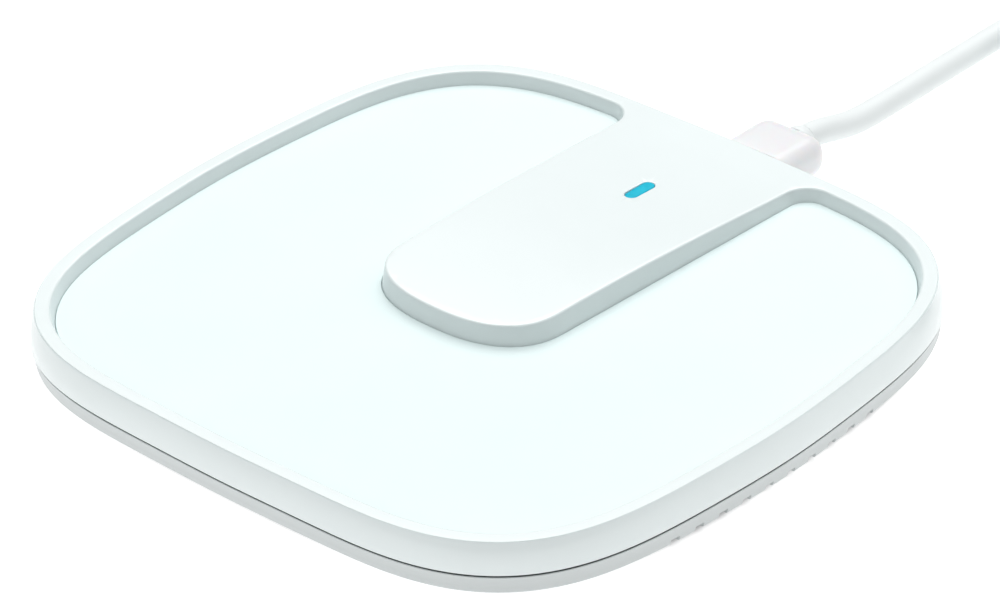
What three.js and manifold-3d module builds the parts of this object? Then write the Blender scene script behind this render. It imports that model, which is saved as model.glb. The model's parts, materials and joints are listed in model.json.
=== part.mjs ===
// A wireless charging pad with its USB-C cable plugged in. Millimetres, +Z up.
// The origin is on the surface the pad stands on, under its middle; the cable leaves towards +Y.

import * as THREE from 'three';
import { mergeVertices } from 'three/addons/utils/BufferGeometryUtils.js';
import Module from 'manifold-3d';

const wasm = await Module();
wasm.setup();

// ---- driving dimensions ----

// Outline of the pad at its parting line: a soft square, slightly wider than it is deep.
const PAD_HALF_WIDTH = 50;
const PAD_HALF_DEPTH = 47.6;
const PAD_CORNER_REACH = 57.1; // from the middle to the outline on the diagonal
const PAD_SIDE_FLATNESS = 0.53; // flattens the sides between the corners
const OUTLINE_STEPS = 72;

// Heights.
const BASE_BOTTOM_Z = 0.25; // the feet hold the base this far up
const BASE_FLOOR = 1.25;
const PARTING_Z = 3.4;
const PARTING_GAP = 0.35;
const RIM_Z = 7.3;
const SURFACE_Z = 5.5; // top of the recessed charging surface
const SURFACE_THICKNESS = 0.5;
const COVER_FLOOR = 0.85;
const SKIN = 1.2; // wall over the hollow of the tongue
const SEAT_GAP = 0.05; // between pieces that lie on each other

// Shells, measured inwards from the outline.
const CREASE_INSET = 1.37; // outer edge of the flat rim
const RIM_INNER_INSET = 2.9;
const RIM_FOOT_INSET = 3.35; // where the inner wall of the rim meets the charging surface
const LIP_OUTER_INSET = 1.35;
const LIP_INNER_INSET = 2.15;
const LIP_HEIGHT = 0.6;
const LIP_GAP = 0.15;

// Tongue: the strip that runs from the back of the rim to past the middle of the pad.
const TONGUE_BACK_HALF_WIDTH = 14.45;
const TONGUE_FRONT_HALF_WIDTH = 13.05;
const TONGUE_FRONT_Y = -8.5;
const TONGUE_LEAN = -1.2; // its front end is this far to the side of its back end
const TONGUE_END_LENGTH = 8.8;
const TONGUE_END_POWER = 2.45; // the front end is a superellipse
const TONGUE_WALL_DRAFT = 0.45;
const CROWN_TOP_Y = 9;
const CROWN_END_Y = 43;
const CROWN_HEIGHT = 1.1;
const POCKET_FILLET = 3.6;

// Vents along both sides of the base.
const VENTS_PER_SIDE = 10;
const VENT_PITCH = 3.95;
const VENT_WIDTH = 1.4;
const VENT_MIDDLE_Y = -1.9;
const VENT_HEIGHT = 0.75;
const VENT_INNER_X = 44.5;
const VENT_WINDOW_X = 46.5;
const VENT_OUTER_X = 52;

// Feet, screws and bosses.
const SCREW_X = 33;
const SCREW_Y = 30;
const FOOT_RADIUS = 4.5;
const FOOT_RECESS = 0.65;
const CASE_SCREW = { head: 1.8, shank: 0.75, headBottomZ: 1.15, headTopZ: 1.85, shankTopZ: 4.4, tipZ: 4.5 };
const BASE_BOSS = { radius: 3.2, topZ: 2.9, headHole: 2, headHoleTopZ: 1.9, shankHole: 1.05 };
const COVER_BOSS = { radius: 2.4, bottomZ: 3.1, pilot: 0.85, pilotTopZ: 4.6 };
const BOARD_SCREW = { head: 1.6, shank: 0.75, bottomZ: 1.15, headHeight: 0.6, inset: 2.6 };
const BOARD_BOSS = { radius: 1.9, pilot: 0.9, pilotBottomZ: 1.05, hole: 1 };

// Charging coil, ferrite and circuit board.
const COIL_Y = -2;
const COIL_INNER_RADIUS = 10.5;
const COIL_TURNS = 9;
const COIL_PITCH = 1.22;
const COIL_WIRE = 1.1;
const COIL_Z = 3.15;
const FERRITE_TOP_Z = 2.45;
const BOARD_BOTTOM_Z = 2.3;
const BOARD_THICKNESS = 1;
const BOARD_HALF_WIDTH = 13;
const BOARD_FRONT_Y = 22.9;
const BOARD_BACK_Y = 44.4;
const LED_Y = 29;
const LED_SLOT = [4.8, 1.7];

// USB-C port and plug, after the connector standard.
const PORT_X = 3.2;
const PORT_Z = 3.6;
const PORT_FACE_Y = 46.9;
const RECEPTACLE = { width: 8.94, height: 3.26, length: 7.35, wall: 0.3 };
const PLUG_SHELL = { width: 8.1, height: 2.3, wall: 0.28 };
const PLUG_FACE_Y = 48;
const PLUG_BODY = { width: 10.9, height: 5.8, length: 8.1 };
const PLUG_SHELL_REACH = 6.65;

// Cable: one metre from plug to plug.
const CORD_DIAMETER = 3.5;
const CORD_REST_Z = CORD_DIAMETER / 2;
const CORD_START_Y = 57.8;
const COIL_RING_X = 29.9;
const COIL_RING_Y = 113;
const OUTER_TURN_RADIUS = 26;
const TURNS_ACROSS = 4;
const COIL_LAYERS = 2;
const TIE_ANGLE = 35;

// USB-A plug on the far end.
const USB_A_X = COIL_RING_X + OUTER_TURN_RADIUS;
const USB_A_Z = 4.1;
const USB_A_BODY = { width: 15.4, height: 7.8, length: 20 };
const USB_A_SHELL = { width: 12, height: 4.5, length: 13.5, wall: 0.3 };
const USB_A_RELIEF_Y = COIL_RING_Y - 21;

const TURN = 2 * Math.PI;

// ---- shapes ----

function outlineRadius(angle) {
  const side = (PAD_HALF_WIDTH + PAD_HALF_DEPTH) / 2;
  const second = (PAD_HALF_WIDTH - PAD_HALF_DEPTH) / 2;
  const fourth = (side - PAD_CORNER_REACH) / 2;
  const mean = (side + PAD_CORNER_REACH) / 2 - PAD_SIDE_FLATNESS;
  return mean + second * Math.cos(2 * angle) + fourth * Math.cos(4 * angle)
    + PAD_SIDE_FLATNESS * Math.cos(8 * angle);
}

// A point of the outline, moved inwards along the outline's own normal.
function outlinePoint(angle, inset) {
  const step = 1e-4;
  const at = (a) => new THREE.Vector2(Math.cos(a), Math.sin(a)).multiplyScalar(outlineRadius(a));
  const along = at(angle + step).sub(at(angle - step)).normalize();
  return at(angle).add(new THREE.Vector2(-along.y, along.x).multiplyScalar(inset));
}

function padOutline(inset) {
  return Array.from({ length: OUTLINE_STEPS }, (_, i) => outlinePoint((TURN * i) / OUTLINE_STEPS, inset));
}

function arc(x, y, radius, from, to, steps) {
  return Array.from({ length: steps + 1 }, (_, i) => {
    const angle = from + ((to - from) * i) / steps;
    return new THREE.Vector2(x + radius * Math.cos(angle), y + radius * Math.sin(angle));
  });
}

const tongueShare = (y) => (CROWN_END_Y - y) / (CROWN_END_Y - TONGUE_FRONT_Y);
const tongueMiddleX = (y) => TONGUE_LEAN * tongueShare(y);
const tongueHalfWidth = (y) =>
  THREE.MathUtils.lerp(TONGUE_BACK_HALF_WIDTH, TONGUE_FRONT_HALF_WIDTH, tongueShare(y));

// The round front end of the tongue, from its right side to its left, moved outwards by grow.
function tongueEnd(grow) {
  const power = 2 / TONGUE_END_POWER;
  const at = (angle) => {
    const y = TONGUE_FRONT_Y + TONGUE_END_LENGTH * (1 - Math.sin(angle) ** power);
    const across = Math.sign(Math.cos(angle)) * Math.abs(Math.cos(angle)) ** power;
    return new THREE.Vector2(tongueMiddleX(y) + across * tongueHalfWidth(y), y);
  };
  const steps = 20;
  const step = 1e-3;
  const last = TURN / 2 - 1e-9;
  return Array.from({ length: steps + 1 }, (_, i) => {
    const angle = (last * i) / steps;
    const along = at(Math.min(angle + step, last)).sub(at(Math.max(angle - step, 0))).normalize();
    return at(angle).add(new THREE.Vector2(-along.y, along.x).multiplyScalar(grow));
  });
}

// The fillet where the rim meets one side of the tongue: its centre, and its angle on the outline.
function pocketFillet(side, rimInset, tongueGrow) {
  let low = TURN / 8;
  let high = TURN / 4;
  const centreAt = (angle) => outlinePoint(side > 0 ? angle : TURN / 2 - angle, rimInset + POCKET_FILLET);
  for (let i = 0; i < 40; i += 1) {
    const middle = (low + high) / 2;
    const { x, y } = centreAt(middle);
    const clear = tongueHalfWidth(y) + tongueGrow + POCKET_FILLET;
    if (side * (x - tongueMiddleX(y)) > clear) low = middle;
    else high = middle;
  }
  const angle = side > 0 ? low : TURN / 2 - low;
  return { centre: centreAt(low), angle, touch: outlinePoint(angle, 0).sub(centreAt(low)).angle() };
}

// Outline of the recess: inside the rim, around the tongue, with a fillet where the two meet.
function pocketOutline(rimInset, tongueGrow) {
  const right = pocketFillet(1, rimInset, tongueGrow);
  const left = pocketFillet(-1, rimInset, tongueGrow);
  const rim = Array.from({ length: OUTLINE_STEPS - 1 }, (_, i) => {
    const share = (i + 1) / OUTLINE_STEPS;
    return outlinePoint(THREE.MathUtils.lerp(left.angle, right.angle + TURN, share), rimInset);
  });
  return [
    ...rim,
    ...arc(right.centre.x, right.centre.y, POCKET_FILLET, right.touch, TURN / 2, 6),
    ...tongueEnd(tongueGrow),
    ...arc(left.centre.x, left.centre.y, POCKET_FILLET, 0, left.touch, 6),
  ];
}

function roundedRectangle(width, height, radius, x = 0, y = 0, steps = 6) {
  const [cx, cy] = [width / 2 - radius, height / 2 - radius];
  return [
    ...arc(x + cx, y + cy, radius, 0, TURN / 4, steps),
    ...arc(x - cx, y + cy, radius, TURN / 4, TURN / 2, steps),
    ...arc(x - cx, y - cy, radius, TURN / 2, (3 * TURN) / 4, steps),
    ...arc(x + cx, y - cy, radius, (3 * TURN) / 4, TURN, steps),
  ].filter((point, i, all) => point.distanceTo(all[(i + 1) % all.length]) > 1e-4);
}

// A closed skin through outlines of equal length at rising heights: [[outline, z], ...].
function loft(levels) {
  const count = levels[0][0].length;
  const index = [];
  for (let level = 0; level + 1 < levels.length; level += 1) {
    for (let i = 0; i < count; i += 1) {
      const a = level * count + i;
      const b = level * count + ((i + 1) % count);
      index.push(a, b, b + count, a, b + count, a + count);
    }
  }
  const last = (levels.length - 1) * count;
  for (const [a, b, c] of THREE.ShapeUtils.triangulateShape(levels[0][0], [])) index.push(a, c, b);
  for (const [a, b, c] of THREE.ShapeUtils.triangulateShape(levels.at(-1)[0], [])) {
    index.push(last + a, last + b, last + c);
  }
  const geometry = new THREE.BufferGeometry();
  const points = levels.flatMap(([outline, z]) => outline.flatMap(({ x, y }) => [x, y, z]));
  geometry.setAttribute('position', new THREE.Float32BufferAttribute(points, 3));
  geometry.setIndex(index);
  return geometry;
}

const prism = (outline, z0, z1) => loft([[outline, z0], [outline, z1]]);

// The same skin laid along Y: the outlines are cross-sections in X and Z, the heights become Y.
const loftAlongY = (levels) => loft(levels).rotateX(-TURN / 4);
const prismAlongY = (outline, y0, y1) => prism(outline, y0, y1).rotateX(-TURN / 4);

// A round piece about a vertical axis at x, y; the profile is [radius, z] pairs from bottom to top.
function turned(profile, x, y, steps = 24) {
  const points = profile.map(([radius, z]) => new THREE.Vector2(radius, z));
  return new THREE.LatheGeometry(points, steps).rotateX(TURN / 4).translate(x, y, 0);
}

const cylinder = (radius, z0, z1, x, y, steps = 24) =>
  turned([[0, z0], [radius, z0], [radius, z1], [0, z1]], x, y, steps);

function box(x0, x1, y0, y1, z0, z1) {
  return new THREE.BoxGeometry(x1 - x0, y1 - y0, z1 - z0)
    .translate((x0 + x1) / 2, (y0 + y1) / 2, (z0 + z1) / 2);
}

// A round wire or cord of the given diameter along a curve through the points.
function wire(points, diameter, sides, steps) {
  const section = new THREE.Shape(arc(0, 0, diameter / 2, 0, TURN * (1 - 1 / sides), sides - 1));
  const extrudePath = new THREE.CatmullRomCurve3(points.map((point) => new THREE.Vector3(...point)));
  return new THREE.ExtrudeGeometry(section, { steps, bevelEnabled: false, extrudePath });
}

// ---- booleans ----

function solid(geometry) {
  const bare = geometry.clone();
  bare.deleteAttribute('normal');
  bare.deleteAttribute('uv');
  const merged = mergeVertices(bare, 1e-4);
  return new wasm.Manifold(new wasm.Mesh({
    numProp: 3,
    vertProperties: Float32Array.from(merged.attributes.position.array),
    triVerts: Uint32Array.from(merged.index.array),
  }));
}

const join = (first, ...others) => others.reduce((sum, geometry) => sum.add(solid(geometry)), first);
const cut = (first, ...others) => others.reduce((rest, geometry) => rest.subtract(solid(geometry)), first);

function skinOf(shape) {
  const { numProp, vertProperties, triVerts } = shape.getMesh();
  if (numProp !== 3) throw new Error('a solid has only positions');
  const geometry = new THREE.BufferGeometry();
  geometry.setAttribute('position', new THREE.Float32BufferAttribute(vertProperties, 3));
  geometry.setIndex(Array.from(triVerts));
  return geometry;
}

// ---- materials ----

const FINISHES = {
  glossyShell: { color: 0xe6ecec, roughness: 0.25, metalness: 0 },
  satinSurface: { color: 0xf1f8f8, roughness: 0.5, metalness: 0 },
  baseShell: { color: 0xd4d9d9, roughness: 0.45, metalness: 0 },
  silicone: { color: 0xc9cdcd, roughness: 0.8, metalness: 0 },
  screwSteel: { color: 0x9a9da0, roughness: 0.35, metalness: 1 },
  lightPipe: { color: 0x26c0d9, roughness: 0.2, metalness: 0 },
  ledBody: { color: 0xf4f1e2, roughness: 0.4, metalness: 0 },
  copperLitz: { color: 0xb8683c, roughness: 0.45, metalness: 1 },
  ferrite: { color: 0x2b2c2e, roughness: 0.6, metalness: 0 },
  boardGreen: { color: 0x1f5b3a, roughness: 0.5, metalness: 0 },
  chipBlack: { color: 0x1b1b1d, roughness: 0.55, metalness: 0 },
  ceramic: { color: 0x9b7a55, roughness: 0.5, metalness: 0 },
  thermalGrey: { color: 0x8a93a0, roughness: 0.9, metalness: 0 },
  contactSteel: { color: 0xb9bcbf, roughness: 0.3, metalness: 1 },
  contactGold: { color: 0xd0a850, roughness: 0.3, metalness: 1 },
  plugPlastic: { color: 0xf1f2f0, roughness: 0.35, metalness: 0 },
  insertPlastic: { color: 0xdedfdf, roughness: 0.5, metalness: 0 },
  cordJacket: { color: 0xe9efef, roughness: 0.5, metalness: 0 },
  tieFabric: { color: 0xdadfdf, roughness: 0.9, metalness: 0 },
};

const object = new THREE.Group();

function piece(name, shape, finish) {
  const geometry = shape.isBufferGeometry ? shape : skinOf(shape);
  const mesh = new THREE.Mesh(geometry, new THREE.MeshStandardMaterial(FINISHES[finish]));
  mesh.name = name;
  object.add(mesh);
}

// ---- shells ----

const baseFloorZ = BASE_BOTTOM_Z + BASE_FLOOR;
const seatZ = SURFACE_Z - SURFACE_THICKNESS - SEAT_GAP;
const ceilingZ = seatZ - COVER_FLOOR;
const hollowTopZ = RIM_Z - SKIN;
const screwPlaces = [[1, 1], [-1, 1], [-1, -1], [1, -1]].map(([x, y]) => [x * SCREW_X, y * SCREW_Y]);
const boardScrewX = BOARD_HALF_WIDTH - BOARD_SCREW.inset;
const boardScrewY = BOARD_FRONT_Y + BOARD_SCREW.inset;
const boardTopZ = BOARD_BOTTOM_Z + BOARD_THICKNESS;

const crownHeight = (y) => {
  const share = (y - CROWN_TOP_Y) / (CROWN_END_Y - CROWN_TOP_Y);
  return CROWN_HEIGHT * (1 - share * share);
};

// The raised top of the tongue: its plan, under a gentle arch from the back to the front.
function tongueCrown() {
  const plan = [
    new THREE.Vector2(tongueHalfWidth(CROWN_END_Y), CROWN_END_Y),
    ...tongueEnd(0),
    new THREE.Vector2(-tongueHalfWidth(CROWN_END_Y), CROWN_END_Y),
  ].reverse();
  const below = RIM_Z - 0.6;
  const steps = 12;
  const arch = Array.from({ length: steps + 1 }, (_, i) => {
    const y = THREE.MathUtils.lerp(CROWN_END_Y, TONGUE_FRONT_Y - 1, i / steps);
    return new THREE.Vector2(y, RIM_Z + crownHeight(y));
  });
  const profile = [
    new THREE.Vector2(TONGUE_FRONT_Y - 1, below),
    new THREE.Vector2(CROWN_END_Y, below),
    ...arch,
  ];
  const half = TONGUE_BACK_HALF_WIDTH + 1;
  const bar = prism(profile, -half, half).rotateX(TURN / 4).rotateZ(TURN / 4);
  return solid(prism(plan, below, RIM_Z + CROWN_HEIGHT + 1)).intersect(solid(bar));
}

const portOpening = (margin, y0, y1) => {
  const [width, height] = [RECEPTACLE.width + 2 * margin, RECEPTACLE.height + 2 * margin];
  return prismAlongY(roundedRectangle(width, height, height / 2 - 0.02, PORT_X, -PORT_Z), y0, y1);
};

// The port is cut through the back wall of both covers.
const portFrontY = PORT_FACE_Y - RECEPTACLE.length - 1;
const portBackY = PAD_HALF_DEPTH + 1;

function topCover() {
  const outside = [
    [0, PARTING_Z], [0.08, 4.4], [0.3, 5.4], [0.72, 6.4], [1.08, 6.95], [CREASE_INSET, RIM_Z],
  ];
  const body = solid(loft(outside.map(([inset, z]) => [padOutline(inset), z]))).add(tongueCrown());
  const aboveAll = RIM_Z + 2;
  const slope = (RIM_FOOT_INSET - RIM_INNER_INSET) / (RIM_Z - seatZ);
  const rimInset = RIM_FOOT_INSET - slope * (RIM_Z - seatZ);
  const recess = loft([
    [pocketOutline(RIM_FOOT_INSET, TONGUE_WALL_DRAFT), seatZ],
    [pocketOutline(rimInset, 0), RIM_Z],
    [pocketOutline(rimInset, 0), aboveAll],
  ]);
  const inside = prism(padOutline(LIP_OUTER_INSET - LIP_GAP), PARTING_Z - 1, ceilingZ);
  const [hollowFrontY, hollowBackY] = [TONGUE_FRONT_Y + TONGUE_END_LENGTH, CROWN_END_Y - 1];
  const [hollowX, hollowHalf] = [TONGUE_LEAN / 3, TONGUE_FRONT_HALF_WIDTH - 1.5 * SKIN];
  const [hollowY, hollowLength] = [(hollowBackY + hollowFrontY) / 2, hollowBackY - hollowFrontY];
  const hollow = roundedRectangle(2 * hollowHalf, hollowLength, 2.5, hollowX, hollowY);
  const [lightLength, lightWidth] = LED_SLOT.map((size) => size + 0.2);
  const lightSlot = roundedRectangle(lightWidth, lightLength, lightWidth / 2 - 0.1, 0, LED_Y);
  const hollowed = cut(
    body,
    recess,
    inside,
    prism(hollow, ceilingZ - 1, hollowTopZ),
    prism(lightSlot, hollowTopZ - 1, aboveAll),
  );
  const { radius, bottomZ, pilot, pilotTopZ } = COVER_BOSS;
  return cut(
    join(hollowed, ...screwPlaces.map(([x, y]) => cylinder(radius, bottomZ, ceilingZ + 0.1, x, y))),
    ...screwPlaces.map(([x, y]) => cylinder(pilot, bottomZ - 0.1, pilotTopZ, x, y, 16)),
    portOpening(0.3, portFrontY, portBackY),
  );
}

function chargingSurface() {
  const gap = 0.12;
  const bevel = 0.12;
  const top = SURFACE_Z;
  const outline = (inset) => pocketOutline(RIM_FOOT_INSET + gap + inset, TONGUE_WALL_DRAFT + gap + inset);
  return loft([[outline(0), seatZ + SEAT_GAP], [outline(0), top - bevel], [outline(bevel), top]]);
}

// One vent: a notch in the lower edge of the wall that runs up into the base.
function vent(side, y) {
  const [y0, y1] = [y - VENT_WIDTH / 2, y + VENT_WIDTH / 2];
  const span = (from, to) => [side * from, side * to].sort((a, b) => a - b);
  return [
    box(...span(VENT_INNER_X, VENT_OUTER_X), y0, y1, 0, BASE_BOTTOM_Z + VENT_HEIGHT),
    box(...span(VENT_INNER_X, VENT_WINDOW_X), y0, y1, 0, baseFloorZ + 0.5),
  ];
}

function baseCover() {
  const top = PARTING_Z - PARTING_GAP;
  const outside = [[0.85, BASE_BOTTOM_Z], [0.6, 0.45], [0.42, 1.5], [0.16, top]];
  const tray = cut(
    join(
      solid(loft(outside.map(([inset, z]) => [padOutline(inset), z]))),
      prism(padOutline(LIP_OUTER_INSET), top - 0.5, PARTING_Z + LIP_HEIGHT),
    ),
    prism(padOutline(LIP_INNER_INSET), baseFloorZ, PARTING_Z + LIP_HEIGHT + 1),
  );
  const boardBossTopZ = BOARD_BOTTOM_Z - SEAT_GAP;
  const boardBosses = [-1, 1].map((side) => [side * boardScrewX, boardScrewY]);
  const ventRows = Array.from({ length: VENTS_PER_SIDE }, (_, i) =>
    VENT_MIDDLE_Y + (i - (VENTS_PER_SIDE - 1) / 2) * VENT_PITCH);
  return cut(
    join(
      tray,
      ...screwPlaces.map(([x, y]) => cylinder(BASE_BOSS.radius, baseFloorZ - 0.1, BASE_BOSS.topZ, x, y)),
      ...boardBosses.map(([x, y]) => cylinder(BOARD_BOSS.radius, baseFloorZ - 0.1, boardBossTopZ, x, y)),
    ),
    ...screwPlaces.flatMap(([x, y]) => [
      cylinder(FOOT_RADIUS + 0.1, 0, BASE_BOTTOM_Z + FOOT_RECESS, x, y, 32),
      cylinder(BASE_BOSS.headHole, 0, BASE_BOSS.headHoleTopZ, x, y),
      cylinder(BASE_BOSS.shankHole, 0, BASE_BOSS.topZ + 1, x, y, 16),
    ]),
    ...boardBosses.map(([x, y]) => cylinder(BOARD_BOSS.pilot, BOARD_BOSS.pilotBottomZ, top, x, y, 16)),
    ...ventRows.flatMap((y) => [...vent(-1, y), ...vent(1, y)]),
    portOpening(0.27, portFrontY, portBackY),
  );
}

piece('top_cover', topCover(), 'glossyShell');
piece('charging_surface', chargingSurface(), 'satinSurface');
piece('base_cover', baseCover(), 'baseShell');

// ---- feet and screws ----

screwPlaces.forEach(([x, y], i) => {
  const footTop = BASE_BOTTOM_Z + FOOT_RECESS - SEAT_GAP;
  const foot = [[0, 0], [FOOT_RADIUS - 0.35, 0], [FOOT_RADIUS, 0.3], [FOOT_RADIUS, footTop], [0, footTop]];
  piece(`foot_${i + 1}`, turned(foot, x, y), 'silicone');
  const { head, shank, headBottomZ, headTopZ, shankTopZ, tipZ } = CASE_SCREW;
  const screw = [
    [0, headBottomZ], [head, headBottomZ], [head, headTopZ], [shank, headTopZ], [shank, shankTopZ], [0, tipZ],
  ];
  const [reach, half, depthZ] = [1, 0.2, headBottomZ + 0.35];
  const cross = [
    box(x - reach, x + reach, y - half, y + half, headBottomZ - 1, depthZ),
    box(x - half, x + half, y - reach, y + reach, headBottomZ - 1, depthZ),
  ];
  piece(`case_screw_${i + 1}`, cut(solid(turned(screw, x, y, 16)), ...cross), 'screwSteel');
});

// ---- charging coil ----

function powerCoil() {
  const steps = 16;
  const points = Array.from({ length: COIL_TURNS * steps + 1 }, (_, i) => {
    const angle = TURN / 4 + (TURN * i) / steps;
    const radius = COIL_INNER_RADIUS + (COIL_PITCH * i) / steps;
    return [radius * Math.cos(angle), COIL_Y + radius * Math.sin(angle), COIL_Z];
  });
  return wire(points, COIL_WIRE, 6, COIL_TURNS * steps);
}

const coilOuterRadius = COIL_INNER_RADIUS + COIL_PITCH * COIL_TURNS;
const ferrite = cylinder(coilOuterRadius + 1.6, baseFloorZ + SEAT_GAP, FERRITE_TOP_Z, 0, COIL_Y, 48);
piece('ferrite_sheet', ferrite, 'ferrite');
piece('power_coil', powerCoil(), 'copperLitz');

// The outer end runs straight to the board; the inner end passes over the turns inside the tongue.
piece('coil_lead_outer', wire([
  [-1.2, COIL_Y + coilOuterRadius + 0.95, COIL_Z],
  [-2.4, COIL_Y + coilOuterRadius + 1.6, 3.4],
  [-3.4, COIL_Y + coilOuterRadius + 2.8, 4],
  [-4, BOARD_FRONT_Y + 1.8, 4.05],
], COIL_WIRE, 6, 8), 'copperLitz');
piece('coil_lead_inner', wire([
  [2.2, COIL_Y + COIL_INNER_RADIUS - 1.4, 3.3],
  [2.8, COIL_Y + COIL_INNER_RADIUS - 0.6, 4.3],
  [3.6, COIL_Y + COIL_INNER_RADIUS + 1.6, 4.6],
  [4, 14, 4.6],
  [4, BOARD_FRONT_Y - 1, 4.5],
  [4, BOARD_FRONT_Y + 1.8, 4.05],
], COIL_WIRE, 6, 14), 'copperLitz');
piece('coil_thermistor', box(-1.2, 1.2, COIL_Y - 1, COIL_Y + 1, 2.55, 3.5), 'chipBlack');

// ---- circuit board ----

function circuitBoard() {
  const length = BOARD_BACK_Y - BOARD_FRONT_Y;
  const plan = roundedRectangle(2 * BOARD_HALF_WIDTH, length, 1.5, 0, BOARD_FRONT_Y + length / 2, 4);
  const notchHalf = RECEPTACLE.width / 2 + 0.3;
  const notchFrontY = PORT_FACE_Y - RECEPTACLE.length - 0.3;
  return cut(
    solid(prism(plan, BOARD_BOTTOM_Z, boardTopZ)),
    box(PORT_X - notchHalf, PORT_X + notchHalf, notchFrontY, BOARD_BACK_Y + 1, 0, 6),
    ...[-1, 1].map((side) => cylinder(BOARD_BOSS.hole, 0, 6, side * boardScrewX, boardScrewY, 16)),
  );
}

piece('circuit_board', circuitBoard(), 'boardGreen');
[-1, 1].forEach((side, i) => {
  const { head, shank, bottomZ, headHeight } = BOARD_SCREW;
  const [headBottom, headTop] = [boardTopZ + SEAT_GAP, boardTopZ + SEAT_GAP + headHeight];
  const screw = [
    [0, bottomZ], [shank, bottomZ + 0.1], [shank, headBottom],
    [head, headBottom], [head, headTop], [0, headTop],
  ];
  piece(`board_screw_${i + 1}`, turned(screw, side * boardScrewX, boardScrewY, 16), 'screwSteel');
});

// Parts on the board: name, middle x, middle y, width, length, height, finish.
const onBoard = [
  ['controller_chip', -4.4, 36.3, 5, 5, 0.85, 'chipBlack'],
  ['bridge_chip_1', -9.6, 31.4, 3.3, 3.3, 0.85, 'chipBlack'],
  ['bridge_chip_2', -5.2, 31.4, 3.3, 3.3, 0.85, 'chipBlack'],
  ['resonant_capacitor_1', 5.4, 33.6, 2.5, 3.2, 2, 'ceramic'],
  ['resonant_capacitor_2', 8.4, 33.6, 2.5, 3.2, 2, 'ceramic'],
  ['resonant_capacitor_3', 5.4, 29.8, 2.5, 3.2, 2, 'ceramic'],
  ['resonant_capacitor_4', 8.4, 29.8, 2.5, 3.2, 2, 'ceramic'],
  ['power_inductor', -9, 37.6, 3.8, 4, 2, 'chipBlack'],
  ['clock_crystal', -4.2, 42, 3.2, 2.5, 0.65, 'contactSteel'],
];
for (const [name, x, y, width, length, height, finish] of onBoard) {
  const plan = roundedRectangle(width, length, 0.2, x, y, 1);
  piece(name, prism(plan, boardTopZ + SEAT_GAP, boardTopZ + SEAT_GAP + height), finish);
}
const thermalPad = box(-9, -2, 29.4, 40, baseFloorZ + SEAT_GAP, BOARD_BOTTOM_Z - SEAT_GAP);
piece('thermal_pad', thermalPad, 'thermalGrey');

// ---- status light ----

function lightPipe() {
  const [length, width] = LED_SLOT;
  const topZ = RIM_Z + crownHeight(LED_Y) - 0.06;
  const stem = roundedRectangle(width, length, width / 2 - 0.02, 0, LED_Y);
  const flange = roundedRectangle(width + 1.8, length + 1.8, width / 2 + 0.8, 0, LED_Y);
  return join(solid(prism(stem, boardTopZ + 0.8, topZ)), prism(flange, hollowTopZ - 0.75, hollowTopZ - 0.05));
}

const led = box(-0.4, 0.4, LED_Y - 0.8, LED_Y + 0.8, boardTopZ + SEAT_GAP, boardTopZ + 0.65);
piece('status_led', led, 'ledBody');
piece('light_pipe', lightPipe(), 'lightPipe');

// ---- USB-C port and plug ----

const sleeve = (width, height, wall, x, z, y0, y1, round) => {
  const outer = roundedRectangle(width, height, round, x, -z);
  const inner = roundedRectangle(width - 2 * wall, height - 2 * wall, round - wall, x, -z);
  return cut(solid(prismAlongY(outer, y0, y1)), prismAlongY(inner, y0 - 1, y1 + 1));
};

function receptacle() {
  const { width, height, length, wall } = RECEPTACLE;
  const backY = PORT_FACE_Y - length;
  const tube = sleeve(width, height, wall, PORT_X, PORT_Z, backY, PORT_FACE_Y, height / 2 - 0.02);
  piece('usb_c_receptacle_shell', tube, 'contactSteel');
  const [gap, tongueY] = [0.05, PORT_FACE_Y - 1];
  const [innerWidth, innerHeight] = [width - 2 * wall - 2 * gap, height - 2 * wall - 2 * gap];
  const block = roundedRectangle(innerWidth, innerHeight, innerHeight / 2 - 0.02, PORT_X, -PORT_Z);
  const tongue = roundedRectangle(6.7, 0.7, 0.15, PORT_X, -PORT_Z, 2);
  const insulator = join(
    solid(prismAlongY(block, backY, backY + 1)),
    prismAlongY(tongue, backY + 0.5, tongueY),
  );
  piece('usb_c_receptacle_insert', insulator, 'chipBlack');
}

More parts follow.
